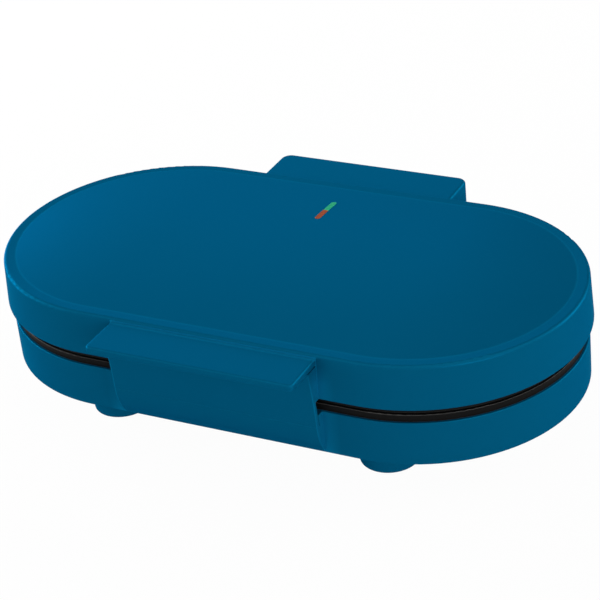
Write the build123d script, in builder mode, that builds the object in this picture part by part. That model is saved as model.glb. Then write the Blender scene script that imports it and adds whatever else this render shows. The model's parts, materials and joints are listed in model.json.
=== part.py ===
"""Twin pancake maker: a racetrack base and lid on a rear hinge, each with a cast plate.

Frame: origin on the table under the middle of the body, +X along its length to the right,
+Y to the hinge, +Z up. The handle is at the front, at -Y. Millimetres.
"""
import os
from build123d import *

os.makedirs("parts", exist_ok=True)

# Body outline: two straights joined by half circles
HALF_STRAIGHT = 95.0
BASE_RADIUS = 102.3
LID_OVERHANG = 2.7
LID_LEAN = 1.6
WALL = 2.5
EDGE_ROUND = 0.8

# Heights, from the table up
FOOT_HEIGHT = 21.0
BASE_HEIGHT = 29.7
SLOT_HEIGHT = 10.4
LID_HEIGHT = 29.8

# Rim and shallow dish of the lid
CROWN = 5.6
RIM_BAND = 8.0
RIM_ROUND = 2.4
RIM_CREASE = 12.0

# Ledges that carry the plates
LEDGE_WIDTH = 2.8
LEDGE_DEPTH = 3.0

# Handle: a lip over an apron that hangs down in front of the slot
HANDLE_HALF_WIDTH = 71.0
HANDLE_DEPTH = 30.0
HANDLE_DROP = 2.3
LIP_THICKNESS = 5.0
LIP_OVERHANG = 20.5
LIP_ROUND = 1.6
HANDLE_CORNER = 3.0
APRON_SWEEP = 3.3
APRON_TAPER = 4.5
APRON_OVERLAP = 7.2
APRON_GAP = 0.2
APRON_CLEARANCE = 0.8
APRON_RIB = 2.0
APRON_RIB_SPACING = 34.0

# Hood over the hinge
HOOD_HALF_WIDTH = 69.7
HOOD_BEHIND_HINGE = 16.0
HOOD_DROP = 0.9
HOOD_SKIRT = 1.0
HOOD_CORNER = 7.0
HOOD_ROUND = 2.0

# Hinge
HINGE_BEHIND_BASE = 16.7
HINGE_ABOVE_BASE = 3.2
HINGE_SIDE_GAP = 1.6
PIN_RADIUS = 2.5
PIN_CLEARANCE = 0.05
LUG_RADIUS = 9.0
LUG_THICKNESS = 7.6
LUG_ROOT_HEIGHT = 24.0
KNUCKLE_RADIUS = 8.5
KNUCKLE_WIDTH = 15.2
KNUCKLE_GAP = 0.4

# Screws from inside the lid into the handle and the hood
LID_SCREW_RADIUS = 1.6
LID_SCREW_LENGTH = 9.0
LID_SCREW_HEAD = 3.0
LID_SCREW_HEAD_HEIGHT = 2.0
HANDLE_SCREW_SPACING = 51.0
HANDLE_BOSS_RADIUS = 4.0
SIDE_SCREW_ABOVE_RIM = 15.0
HOOD_SCREW_SPACING = 11.0

# Feet
FOOT_BESIDE_END = 1.5
FOOT_INSET = 35.0
FOOT_RADIUS = 19.0
FOOT_LEAN = 0.4
FOOT_ROUND = 1.5
FOOT_FLOOR = 4.0
FOOT_TUBE_RADIUS = 5.0
FOOT_BOSS_HEIGHT = 9.0
FOOT_SCREW_RADIUS = 1.8
FOOT_SCREW_HEAD = 3.4
FOOT_SCREW_HEAD_HEIGHT = 2.0
FOOT_SCREW_GRIP = 8.0
PAD_RADIUS = 12.5
PAD_THICKNESS = 2.5
PAD_PROUD = 1.0

# Vents in the floor of the base
VENT_LENGTH = 44.0
VENT_WIDTH = 3.0
VENT_SPACING = 8.0
VENT_COUNT = 5
VENT_X = 52.0

# Cooking plates
PLATE_INSET = 1.8
PLATE_GAP = 1.4
PLATE_EDGE_ROUND = 0.6
RIM_LAND = 12.5
CENTRE_LAND = 7.0
WELL_DEPTH = 6.6
WELL_DRAFT = 1.4
WELL_ROUND = 1.8
CUP_WALL = 3.4
CUP_FLOOR = 3.8

# Screws that hold a plate
PLATE_SCREW_X = 40.0
PLATE_SCREW_INSET = 14.5
PLATE_SCREW_RADIUS = 2.0
PLATE_SCREW_HEAD = 4.0
PLATE_SCREW_LENGTH = 16.0
PLATE_SCREW_RECESS_LENGTH = 4.6
PLATE_SCREW_RECESS_WIDTH = 1.0
PLATE_SCREW_RECESS_DEPTH = 1.6
SCREW_CLEARANCE = 0.05
BOSS_RADIUS = 5.5

# Heating element
ELEMENT_RADIUS = 3.25
ELEMENT_INSET = 30.0
ELEMENT_BEND_MARGIN = 1.0
ELEMENT_SEAT_GAP = 0.1
ELEMENT_END_X = 14.0
ELEMENT_TAIL = 16.0
ELEMENT_END_BEND = 9.0
INSULATOR_RADIUS = 4.2
INSULATOR_LENGTH = 6.0
TERMINAL_RADIUS = 1.5
TERMINAL_LENGTH = 9.0

# Clamps that press the element on the plate
CLAMP_BEFORE_END = 40.0
CLAMP_LENGTH = 28.0
CLAMP_WIDTH = 9.0
CLAMP_THICKNESS = 1.5
CLAMP_HOLE_SPACING = 20.0
CLAMP_BOSS_RADIUS = 3.6
CLAMP_SCREW_RADIUS = 1.6
CLAMP_SCREW_LENGTH = 7.0
CLAMP_HEAD_RADIUS = 3.0
CLAMP_HEAD_HEIGHT = 2.0

# Heat shields
SHIELD_MARGIN = 2.0
SHIELD_THICKNESS = 0.8
SHIELD_RIM = 3.4
SHIELD_CLEARANCE = 0.7
SHIELD_POST_BEFORE_END = 17.0
SHIELD_POST_INSET = 14.5
SHIELD_POST_RADIUS = 4.0
SHIELD_SCREW_RADIUS = 1.5
SHIELD_SCREW_LENGTH = 8.0
SHIELD_HEAD_RADIUS = 3.0
SHIELD_HEAD_HEIGHT = 1.3

# Supply side in the base
GLAND_BESIDE_HOOD = 12.3
GLAND_ABOVE_FLOOR = 12.0
GLAND_BORE = 3.7
GLAND_BODY = 6.5
GLAND_FLANGE = 9.5
GLAND_FLANGE_THICKNESS = 2.5
GLAND_NOSE = 4.0
GLAND_NUT = 9.0
GLAND_NUT_THICKNESS = 3.2
BLOCK_BESIDE_BOSS = 3.5
BLOCK_BEFORE_WALL = 12.8
BLOCK_LENGTH = 24.0
BLOCK_WIDTH = 11.0
BLOCK_HEIGHT = 13.0
BLOCK_SCREW_SPACING = 8.0
BLOCK_SCREW_RADIUS = 1.5
BLOCK_HEAD_RADIUS = 2.2

# Leads
LEAD_RADIUS = 2.5
LEAD_BEND = 5.0
LEAD_X = 20.0
LEAD_CLEARANCE = 0.5
LEAD_INSIDE = 7.0
LEAD_LID_INSIDE = 5.3
LEAD_BASE_DROP = 10.5
LEAD_LID_RISE = 11.0
WIRE_RADIUS = 1.2
WIRE_BEND = 2.0
WIRE_PITCH = 2.7
WIRE_OFFSET = 1.25
WIRE_INSIDE = 6.8
WIRE_ABOVE_FLOOR = 6.5
WIRE_BELOW_RIM = 4.6

# Thermostat and thermal fuse on the upper plate
THERMOSTAT_X = 48.0
THERMOSTAT_RADIUS = 8.5
THERMOSTAT_HEIGHT = 8.0
THERMOSTAT_EAR_RADIUS = 3.5
THERMOSTAT_EAR_REACH = 12.0
THERMOSTAT_EAR_THICKNESS = 1.5
FUSE_RADIUS = 2.0
FUSE_LENGTH = 14.0
STRAP_WIDTH = 6.0
STRAP_LENGTH = 18.0
STRAP_THICKNESS = 1.0

# Indicator window in the lid
WINDOW_BEFORE_REAR = 47.2
WINDOW_LENGTH = 28.0
WINDOW_WIDTH = 4.0
WINDOW_GAP = 0.15
WINDOW_SEAT_BELOW_RIM = 0.9
LENS_PROUD = 0.2
LENS_FLANGE = 2.0
LENS_FLANGE_THICKNESS = 1.2
LAMP_RADIUS = 1.9
LAMP_LENGTH = 9.0
HOLDER_WALL = 1.4
HOLDER_HEIGHT = 6.4
HOLDER_CLEARANCE = 0.2

# Levels worked out from the sizes above
BASE_BOTTOM = FOOT_HEIGHT
BASE_TOP = BASE_BOTTOM + BASE_HEIGHT
LID_BOTTOM = BASE_TOP + SLOT_HEIGHT
LID_TOP = LID_BOTTOM + LID_HEIGHT
FLOOR_TOP = BASE_BOTTOM + WALL
MIDDLE = BASE_TOP + SLOT_HEIGHT / 2
CROWN_TOP = LID_TOP + CROWN
HANDLE_TOP = LID_TOP - HANDLE_DROP
LIP_BOTTOM = HANDLE_TOP - LIP_THICKNESS
APRON_BOTTOM = BASE_TOP - APRON_OVERLAP
HINGE_Z = BASE_TOP + HINGE_ABOVE_BASE
HOOD_TOP = LID_TOP - HOOD_DROP
HOOD_BOTTOM = LID_BOTTOM - HOOD_SKIRT
SIDE_SCREW_Z = LID_BOTTOM + SIDE_SCREW_ABOVE_RIM
PLATE_TOP = MIDDLE - PLATE_GAP / 2
WELL_FLOOR = PLATE_TOP - WELL_DEPTH
CUP_BOTTOM = WELL_FLOOR - CUP_FLOOR
ELEMENT_Z = CUP_BOTTOM - ELEMENT_SEAT_GAP - ELEMENT_RADIUS
CLAMP_TOP = ELEMENT_Z - ELEMENT_RADIUS
SHIELD_TOP = CLAMP_TOP - CLAMP_THICKNESS - CLAMP_HEAD_HEIGHT - SHIELD_CLEARANCE
SHIELD_BOTTOM = SHIELD_TOP - SHIELD_THICKNESS
UPPER_SHIELD_BACK = 2 * MIDDLE - SHIELD_BOTTOM
UPPER_CUP_TOP = 2 * MIDDLE - CUP_BOTTOM
GLAND_Z = FLOOR_TOP + GLAND_ABOVE_FLOOR
BASE_LEAD_Z = HINGE_Z - LEAD_BASE_DROP
LID_LEAD_Z = LID_BOTTOM + LEAD_LID_RISE
MIRROR_PLANE = Plane.XY.offset(MIDDLE)

# Places worked out from the sizes above
LID_RADIUS = BASE_RADIUS + LID_OVERHANG
LID_RIM_RADIUS = LID_RADIUS - LID_LEAN
CROWN_RADIUS = LID_RIM_RADIUS - RIM_BAND
LEDGE_RADIUS = BASE_RADIUS - WALL - LEDGE_WIDTH
PLATE_RADIUS = BASE_RADIUS - PLATE_INSET
WELL_RADIUS = min(PLATE_RADIUS - RIM_LAND, HALF_STRAIGHT - CENTRE_LAND)
HANDLE_REACH = LID_RADIUS + HANDLE_DEPTH
APRON_REACH = HANDLE_REACH - LIP_OVERHANG
APRON_LOW_REACH = APRON_REACH - APRON_TAPER
HINGE_Y = BASE_RADIUS + HINGE_BEHIND_BASE
HOOD_REACH = HINGE_Y + HOOD_BEHIND_HINGE
LUG_PITCH = KNUCKLE_WIDTH / 2 + KNUCKLE_GAP + LUG_THICKNESS / 2
KNUCKLE_X = HOOD_HALF_WIDTH - WALL - HINGE_SIDE_GAP - LUG_THICKNESS / 2 - LUG_PITCH
FOOT_X = HALF_STRAIGHT + FOOT_BESIDE_END
FOOT_Y = BASE_RADIUS - FOOT_INSET
PLATE_SCREW_Y = PLATE_RADIUS - PLATE_SCREW_INSET
ELEMENT_Y = WELL_RADIUS - ELEMENT_INSET
ELEMENT_END_Y = ELEMENT_Y + ELEMENT_TAIL
CLAMP_X = HALF_STRAIGHT - CLAMP_BEFORE_END
SHIELD_RADIUS = PLATE_SCREW_Y - BOSS_RADIUS - SHIELD_MARGIN
SHIELD_POST_X = HALF_STRAIGHT - SHIELD_POST_BEFORE_END
SHIELD_POST_Y = SHIELD_RADIUS - SHIELD_POST_INSET
GLAND_X = HOOD_HALF_WIDTH + GLAND_BESIDE_HOOD
BLOCK_X = PLATE_SCREW_X + BOSS_RADIUS + BLOCK_BESIDE_BOSS + BLOCK_LENGTH / 2
BLOCK_Y = BASE_RADIUS - WALL - BLOCK_BEFORE_WALL
WINDOW_Y = LID_RADIUS - WINDOW_BEFORE_REAR
BASE_LEAD_REACH = BASE_RADIUS - LEAD_INSIDE
WINDOW_SEAT = LID_TOP - WINDOW_SEAT_BELOW_RIM
LID_LEAD_REACH = LID_RADIUS - WALL - LEAD_LID_INSIDE
WIRE_REACH = BASE_RADIUS - WIRE_INSIDE
TERMINAL_REACH = ELEMENT_END_Y + INSULATOR_LENGTH + TERMINAL_LENGTH

PLATE_SCREWS = [(x, y) for x in (-PLATE_SCREW_X, PLATE_SCREW_X) for y in (-PLATE_SCREW_Y, PLATE_SCREW_Y)]
SHIELD_POSTS = [(x, y) for x in (-SHIELD_POST_X, SHIELD_POST_X) for y in (-SHIELD_POST_Y, SHIELD_POST_Y)]
FEET = {
    "front_left": (-FOOT_X, -FOOT_Y),
    "front_right": (FOOT_X, -FOOT_Y),
    "rear_left": (-FOOT_X, FOOT_Y),
    "rear_right": (FOOT_X, FOOT_Y),
}
CENTRED_UP = (Align.CENTER, Align.CENTER, Align.MIN)
CENTRED_DOWN = (Align.CENTER, Align.CENTER, Align.MAX)


def clamp_places():
    """Places of the element clamps, each a point with the direction of its bar."""
    places = [Location((x, y, 0), (0, 0, 90)) for x in (-CLAMP_X, CLAMP_X) for y in (-ELEMENT_Y, ELEMENT_Y)]
    end = HALF_STRAIGHT + ELEMENT_Y
    places += [Location((x, 0, 0)) for x in (-end, end)]
    return places


def at_height(place, height):
    """The same place at another height."""
    return Location((0, 0, height)) * place


def at_level(points, height):
    """Places at one height over points of the plan."""
    return [(x, y, height) for x, y in points]


def around_outline(section, mode=Mode.ADD):
    """Carry a section, drawn as radius and height, along both straights and round both ends."""
    for side in (1, -1):
        corner = (side * HALF_STRAIGHT, 0, 0)
        plane = Plane(origin=corner, x_dir=(0, -side, 0), z_dir=(-side, 0, 0))
        placed = plane.location * section
        extrude(placed, amount=2 * HALF_STRAIGHT, dir=(-side, 0, 0), mode=mode)
        revolve(placed, axis=Axis(corner, (0, 0, 1)), revolution_arc=180, mode=mode)


def round_corner(sketch, point, radius):
    """Round the corner of the sketch that lies nearest to the point."""
    fillet(sketch.vertices().sort_by_distance(point)[0], radius=radius)


def lid_wall(height):
    """Radius of the outside of the leaning lid wall at a height."""
    return LID_RADIUS - LID_LEAN * (height - LID_BOTTOM) / LID_HEIGHT


def crown_height(radius):
    """Height of the crowned top of the lid at a distance from its centre line."""
    sphere = (CROWN_RADIUS**2 + CROWN**2) / (2 * CROWN)
    return CROWN_TOP - sphere + (sphere**2 - radius**2) ** 0.5


def crown_arc(lift=0):
    """Line of the crowned top from its middle to the flat band of the rim, lifted off the surface."""
    return ThreePointArc(
        (0, CROWN_TOP + lift),
        (CROWN_RADIUS / 2, crown_height(CROWN_RADIUS / 2) + lift),
        (CROWN_RADIUS, LID_TOP + lift),
    )


def front_block(low, high, inset=0):
    """Side view of the block under the lip, between two heights, set back from its curved face."""
    back = -BASE_RADIUS + WALL / 2
    with BuildSketch(Plane.YZ) as view:
        with BuildLine():
            apron = ThreePointArc(
                (-APRON_REACH + inset, LIP_BOTTOM),
                (-APRON_REACH + APRON_SWEEP + inset, LID_BOTTOM),
                (-APRON_LOW_REACH + inset, APRON_BOTTOM),
            )
            skirt = TangentArc(
                apron @ 1,
                (-BASE_RADIUS + inset, BASE_BOTTOM + EDGE_ROUND),
                tangent=apron % 1,
            )
            Polyline(
                skirt @ 1,
                (back + inset, BASE_BOTTOM + EDGE_ROUND),
                (back + inset, LIP_BOTTOM),
                apron @ 0,
            )
        make_face()
        with Locations((back, (low + high) / 2)):
            Rectangle(2 * HANDLE_DEPTH, high - low, mode=Mode.INTERSECT)
    return view.sketch


def lid_side_plane(side):
    """Plane on the leaning lid wall at screw height, at the front or the rear, facing out."""
    return Plane(
        origin=(0, side * lid_wall(SIDE_SCREW_Z), SIDE_SCREW_Z),
        x_dir=(1, 0, 0),
        z_dir=(0, side * LID_HEIGHT, LID_LEAN),
    )


def save(builder, name):
    """Label a finished piece and write it."""
    builder.part.label = name
    export_step(builder.part, f"parts/{name}.step")


# Base housing: a moulded tray with an inner ledge, bosses and the hinge lugs
with BuildSketch() as base_section:
    with BuildLine():
        Polyline(
            (0, BASE_BOTTOM),
            (BASE_RADIUS, BASE_BOTTOM),
            (BASE_RADIUS, BASE_TOP),
            (LEDGE_RADIUS, BASE_TOP),
            (LEDGE_RADIUS, BASE_TOP - LEDGE_DEPTH),
            (BASE_RADIUS - WALL, BASE_TOP - LEDGE_DEPTH - LEDGE_WIDTH),
            (BASE_RADIUS - WALL, FLOOR_TOP),
            (0, FLOOR_TOP),
            close=True,
        )
    make_face()
    round_corner(base_section, (BASE_RADIUS, BASE_TOP), EDGE_ROUND)
    round_corner(base_section, (BASE_RADIUS, BASE_BOTTOM), EDGE_ROUND)

lug_places = [side * (KNUCKLE_X + end * LUG_PITCH) for side in (-1, 1) for end in (-1, 1)]
block_screws = [(BLOCK_X + side * BLOCK_SCREW_SPACING / 2, BLOCK_Y) for side in (-1, 1)]

with BuildPart() as base_housing:
    around_outline(base_section.sketch)

    # Block at the front: flush with the apron below it and set back behind it, hollow inside
    apron_back = WALL + APRON_CLEARANCE
    extrude(front_block(BASE_BOTTOM, APRON_BOTTOM - APRON_GAP), amount=HANDLE_HALF_WIDTH, both=True)
    extrude(front_block(BASE_BOTTOM, BASE_TOP, inset=apron_back), amount=HANDLE_HALF_WIDTH, both=True)
    extrude(
        front_block(FLOOR_TOP + EDGE_ROUND, APRON_BOTTOM - APRON_GAP - WALL, inset=WALL),
        amount=HANDLE_HALF_WIDTH - WALL,
        both=True,
        mode=Mode.SUBTRACT,
    )
    extrude(
        front_block(FLOOR_TOP + EDGE_ROUND, BASE_TOP - LEDGE_DEPTH - LEDGE_WIDTH, inset=apron_back + WALL),
        amount=HANDLE_HALF_WIDTH - WALL,
        both=True,
        mode=Mode.SUBTRACT,
    )

    # Bosses for the plate, posts for the heat shield, bosses over the feet
    with Locations(*at_level(PLATE_SCREWS, BASE_BOTTOM)):
        Cylinder(BOSS_RADIUS, BASE_HEIGHT, align=CENTRED_UP)
    with Locations(*at_level(PLATE_SCREWS, BASE_TOP)):
        Hole(PLATE_SCREW_RADIUS + SCREW_CLEARANCE, depth=PLATE_SCREW_LENGTH)
    with Locations(*at_level(SHIELD_POSTS, BASE_BOTTOM)):
        Cylinder(SHIELD_POST_RADIUS, SHIELD_BOTTOM - BASE_BOTTOM, align=CENTRED_UP)
    with Locations(*at_level(SHIELD_POSTS, SHIELD_BOTTOM)):
        Hole(SHIELD_SCREW_RADIUS + SCREW_CLEARANCE, depth=SHIELD_SCREW_LENGTH)
    with Locations(*at_level(FEET.values(), BASE_BOTTOM)):
        Cylinder(FOOT_TUBE_RADIUS, FOOT_BOSS_HEIGHT, align=CENTRED_UP)
        Cylinder(FOOT_SCREW_RADIUS + SCREW_CLEARANCE, FOOT_SCREW_GRIP, align=CENTRED_UP, mode=Mode.SUBTRACT)

    # Vents through the floor
    with BuildSketch(Plane.XY.offset(BASE_BOTTOM)):
        with GridLocations(2 * VENT_X, VENT_SPACING, 2, VENT_COUNT):
            SlotOverall(VENT_LENGTH, VENT_WIDTH)
    extrude(amount=WALL, mode=Mode.SUBTRACT)

    # Hinge lugs, two on each side of a knuckle
    for place in lug_places:
        with BuildSketch(Plane.YZ.offset(place)):
            with Locations((HINGE_Y, HINGE_Z)):
                Circle(LUG_RADIUS)
            with Locations((BASE_RADIUS - WALL / 2, BASE_TOP - EDGE_ROUND - LUG_ROOT_HEIGHT / 2)):
                Rectangle(WALL / 2, LUG_ROOT_HEIGHT)
            make_hull()
        extrude(amount=LUG_THICKNESS / 2, both=True)
    with BuildSketch(Plane.YZ):
        with Locations((HINGE_Y, HINGE_Z)):
            Circle(PIN_RADIUS)
    extrude(amount=HOOD_HALF_WIDTH, both=True, mode=Mode.SUBTRACT)

    # Holes in the rear wall for the gland and the lead to the lid
    with BuildSketch(Plane.XZ.offset(-BASE_RADIUS)):
        with Locations((GLAND_X, GLAND_Z)):
            Circle(GLAND_BODY)
        with Locations((LEAD_X, BASE_LEAD_Z)):
            Circle(LEAD_RADIUS + LEAD_CLEARANCE)
    extrude(amount=WALL + LEDGE_WIDTH, mode=Mode.SUBTRACT)

    # Pilot holes under the terminal block
    with Locations(*at_level(block_screws, FLOOR_TOP)):
        Hole(BLOCK_SCREW_RADIUS + SCREW_CLEARANCE, depth=WALL / 2 + SCREW_CLEARANCE)
save(base_housing, "base_housing")

# Feet: hollow cups with a screw tube and a recess for the pad
pad_recess = PAD_THICKNESS - PAD_PROUD
foot_floor_top = PAD_THICKNESS + FOOT_FLOOR
for name, (x, y) in FEET.items():
    with BuildPart() as foot:
        with Locations((x, y, PAD_PROUD)):
            Cone(FOOT_RADIUS, FOOT_RADIUS + FOOT_LEAN, BASE_BOTTOM - PAD_PROUD, align=CENTRED_UP)
        fillet(foot.edges().group_by(Axis.Z)[0], radius=FOOT_ROUND)
        with Locations((x, y, foot_floor_top)):
            Cylinder(FOOT_RADIUS - WALL, BASE_BOTTOM, align=CENTRED_UP, mode=Mode.SUBTRACT)
            Cylinder(FOOT_TUBE_RADIUS, BASE_BOTTOM - foot_floor_top, align=CENTRED_UP)
        with Locations((x, y, PAD_PROUD)):
            Cylinder(PAD_RADIUS, pad_recess, align=CENTRED_UP, mode=Mode.SUBTRACT)
            Cylinder(
                FOOT_SCREW_HEAD + SCREW_CLEARANCE,
                pad_recess + FOOT_SCREW_HEAD_HEIGHT,
                align=CENTRED_UP,
                mode=Mode.SUBTRACT,
            )
            Cylinder(FOOT_SCREW_RADIUS + SCREW_CLEARANCE, FOOT_HEIGHT, align=CENTRED_UP, mode=Mode.SUBTRACT)
    save(foot, f"foot_{name}")

    with BuildPart() as foot_pad:
        with Locations((x, y, 0)):
            Cylinder(PAD_RADIUS, PAD_THICKNESS, align=CENTRED_UP)
        chamfer(foot_pad.edges().group_by(Axis.Z)[0], length=PAD_PROUD / 2)
    save(foot_pad, f"foot_pad_{name}")

with BuildPart() as foot_screws:
    with Locations(*at_level(FEET.values(), PAD_THICKNESS)):
        Cylinder(FOOT_SCREW_HEAD, FOOT_SCREW_HEAD_HEIGHT, align=CENTRED_UP)
        Cylinder(
            FOOT_SCREW_RADIUS,
            BASE_BOTTOM + FOOT_SCREW_GRIP - SCREW_CLEARANCE - PAD_THICKNESS,
            align=CENTRED_UP,
        )
save(foot_screws, "foot_screws")

# Lower plate: a racetrack casting with two round wells and bosses for the clamps underneath
with BuildPart() as lower_plate:
    with BuildSketch(Plane.XY.offset(BASE_TOP)):
        SlotCenterToCenter(2 * HALF_STRAIGHT, 2 * PLATE_RADIUS)
    extrude(amount=PLATE_TOP - BASE_TOP)
    fillet(lower_plate.edges().group_by(Axis.Z)[-1], radius=PLATE_EDGE_ROUND)
    with Locations((-HALF_STRAIGHT, 0, CUP_BOTTOM), (HALF_STRAIGHT, 0, CUP_BOTTOM)):
        Cone(
            WELL_RADIUS - WELL_DRAFT + CUP_WALL,
            WELL_RADIUS + CUP_WALL,
            BASE_TOP - CUP_BOTTOM,
            align=CENTRED_UP,
        )
    with Locations((-HALF_STRAIGHT, 0, WELL_FLOOR), (HALF_STRAIGHT, 0, WELL_FLOOR)):
        Cone(
            WELL_RADIUS - WELL_DRAFT,
            WELL_RADIUS,
            WELL_DEPTH,
            align=CENTRED_UP,
            mode=Mode.SUBTRACT,
        )
    well_edges = lower_plate.edges().filter_by(GeomType.CIRCLE).filter_by_position(
        Axis.Z, WELL_FLOOR - PLATE_EDGE_ROUND / 2, WELL_FLOOR + PLATE_EDGE_ROUND / 2
    )
    fillet(well_edges, radius=WELL_ROUND)
    with Locations(*at_level(PLATE_SCREWS, PLATE_TOP)):
        CounterSinkHole(PLATE_SCREW_RADIUS + SCREW_CLEARANCE, PLATE_SCREW_HEAD + SCREW_CLEARANCE)
    with Locations(*[at_height(place, CUP_BOTTOM) for place in clamp_places()]):
        with Locations((-CLAMP_HOLE_SPACING / 2, 0), (CLAMP_HOLE_SPACING / 2, 0)):
            Cylinder(
                CLAMP_BOSS_RADIUS,
                CUP_BOTTOM - CLAMP_TOP,
                align=CENTRED_DOWN,
            )
            Cylinder(
                CLAMP_SCREW_RADIUS + SCREW_CLEARANCE,
                CUP_BOTTOM - CLAMP_TOP,
                align=CENTRED_DOWN,
                mode=Mode.SUBTRACT,
            )
save(lower_plate, "lower_plate")

# Countersunk screws through the lands of the plate into the bosses
with BuildPart() as lower_plate_screws:
    with Locations(*at_level(PLATE_SCREWS, PLATE_TOP)):
        Cylinder(
            PLATE_SCREW_RADIUS,
            PLATE_SCREW_LENGTH,
            align=CENTRED_DOWN,
        )
        Cone(
            PLATE_SCREW_RADIUS,
            PLATE_SCREW_HEAD,
            PLATE_SCREW_HEAD - PLATE_SCREW_RADIUS,
            align=CENTRED_DOWN,
        )
        for length, width in (
            (PLATE_SCREW_RECESS_LENGTH, PLATE_SCREW_RECESS_WIDTH),
            (PLATE_SCREW_RECESS_WIDTH, PLATE_SCREW_RECESS_LENGTH),
        ):
            Box(length, width, PLATE_SCREW_RECESS_DEPTH, align=CENTRED_DOWN, mode=Mode.SUBTRACT)
save(lower_plate_screws, "lower_plate_screws")

# Sheathed element: one loop under both wells, its ends side by side at the rear
with BuildPart() as lower_element:
    outer = HALF_STRAIGHT + ELEMENT_Y
    bend = ELEMENT_Y - ELEMENT_BEND_MARGIN
    with BuildLine() as element_path:
        FilletPolyline(
            (ELEMENT_END_X, ELEMENT_END_Y, ELEMENT_Z),
            (ELEMENT_END_X, ELEMENT_Y, ELEMENT_Z),
            (outer, ELEMENT_Y, ELEMENT_Z),
            (outer, -ELEMENT_Y, ELEMENT_Z),
            (-outer, -ELEMENT_Y, ELEMENT_Z),
            (-outer, ELEMENT_Y, ELEMENT_Z),
            (-ELEMENT_END_X, ELEMENT_Y, ELEMENT_Z),
            (-ELEMENT_END_X, ELEMENT_END_Y, ELEMENT_Z),
            radius=[ELEMENT_END_BEND, bend, bend, bend, bend, ELEMENT_END_BEND],
        )
    with BuildSketch(Plane(origin=element_path.line @ 0, z_dir=element_path.line % 0)):
        Circle(ELEMENT_RADIUS)
    sweep()
save(lower_element, "lower_element")

# Ceramic collars and terminal pins on the ends of the element
rear_face = Plane(origin=(0, ELEMENT_END_Y, ELEMENT_Z), x_dir=(1, 0, 0), z_dir=(0, 1, 0))
with BuildPart() as lower_element_insulators:
    with BuildSketch(rear_face):
        with Locations((-ELEMENT_END_X, 0), (ELEMENT_END_X, 0)):
            Circle(INSULATOR_RADIUS)
            Circle(TERMINAL_RADIUS, mode=Mode.SUBTRACT)
    extrude(amount=INSULATOR_LENGTH)
save(lower_element_insulators, "lower_element_insulators")

with BuildPart() as lower_element_terminals:
    with BuildSketch(rear_face):
        with Locations((-ELEMENT_END_X, 0), (ELEMENT_END_X, 0)):
            Circle(TERMINAL_RADIUS)
    extrude(amount=INSULATOR_LENGTH + TERMINAL_LENGTH)
save(lower_element_terminals, "lower_element_terminals")

# Flat bar clamps across the element, each on two bosses of the plate
with BuildPart() as lower_element_clamps:
    with Locations(*[at_height(place, CLAMP_TOP) for place in clamp_places()]):
        Box(
            CLAMP_LENGTH,
            CLAMP_WIDTH,
            CLAMP_THICKNESS,
            align=CENTRED_DOWN,
        )
        with Locations((-CLAMP_HOLE_SPACING / 2, 0), (CLAMP_HOLE_SPACING / 2, 0)):
            Cylinder(
                CLAMP_SCREW_RADIUS + SCREW_CLEARANCE,
                CLAMP_THICKNESS,
                align=CENTRED_DOWN,
                mode=Mode.SUBTRACT,
            )
    chamfer(lower_element_clamps.edges().filter_by(Axis.Z), length=CLAMP_WIDTH / 4)
save(lower_element_clamps, "lower_element_clamps")

with BuildPart() as lower_clamp_screws:
    with Locations(*[at_height(place, CLAMP_TOP - CLAMP_THICKNESS) for place in clamp_places()]):
        with Locations((-CLAMP_HOLE_SPACING / 2, 0), (CLAMP_HOLE_SPACING / 2, 0)):
            Cylinder(CLAMP_HEAD_RADIUS, CLAMP_HEAD_HEIGHT, align=CENTRED_DOWN)
            Cylinder(CLAMP_SCREW_RADIUS, CLAMP_SCREW_LENGTH, align=CENTRED_UP)
save(lower_clamp_screws, "lower_clamp_screws")

# Heat shield: a pan of thin sheet on four posts
with BuildSketch() as shield_section:
    with BuildLine():
        Polyline(
            (0, SHIELD_BOTTOM),
            (SHIELD_RADIUS, SHIELD_BOTTOM),
            (SHIELD_RADIUS, SHIELD_BOTTOM + SHIELD_RIM),
            (SHIELD_RADIUS - SHIELD_THICKNESS, SHIELD_BOTTOM + SHIELD_RIM),
            (SHIELD_RADIUS - SHIELD_THICKNESS, SHIELD_TOP),
            (0, SHIELD_TOP),
            close=True,
        )
    make_face()

with BuildPart() as lower_heat_shield:
    around_outline(shield_section.sketch)
    with Locations(*at_level(SHIELD_POSTS, SHIELD_TOP)):
        Hole(SHIELD_SCREW_RADIUS + SCREW_CLEARANCE, depth=SHIELD_THICKNESS)
save(lower_heat_shield, "lower_heat_shield")

with BuildPart() as lower_shield_screws:
    with Locations(*at_level(SHIELD_POSTS, SHIELD_TOP)):
        Cylinder(SHIELD_HEAD_RADIUS, SHIELD_HEAD_HEIGHT, align=CENTRED_UP)
        Cylinder(SHIELD_SCREW_RADIUS, SHIELD_SCREW_LENGTH, align=CENTRED_DOWN)
save(lower_shield_screws, "lower_shield_screws")

# The lid carries the same plate, element, clamps and shield, turned over
TWINS = {
    "plate": lower_plate,
    "plate_screws": lower_plate_screws,
    "element": lower_element,
    "element_insulators": lower_element_insulators,
    "element_terminals": lower_element_terminals,
    "element_clamps": lower_element_clamps,
    "clamp_screws": lower_clamp_screws,
    "heat_shield": lower_heat_shield,
    "shield_screws": lower_shield_screws,
}
for name, lower in TWINS.items():
    with BuildPart() as upper:
        mirror(lower.part, about=MIRROR_PLANE)
    save(upper, f"upper_{name}")

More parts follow.
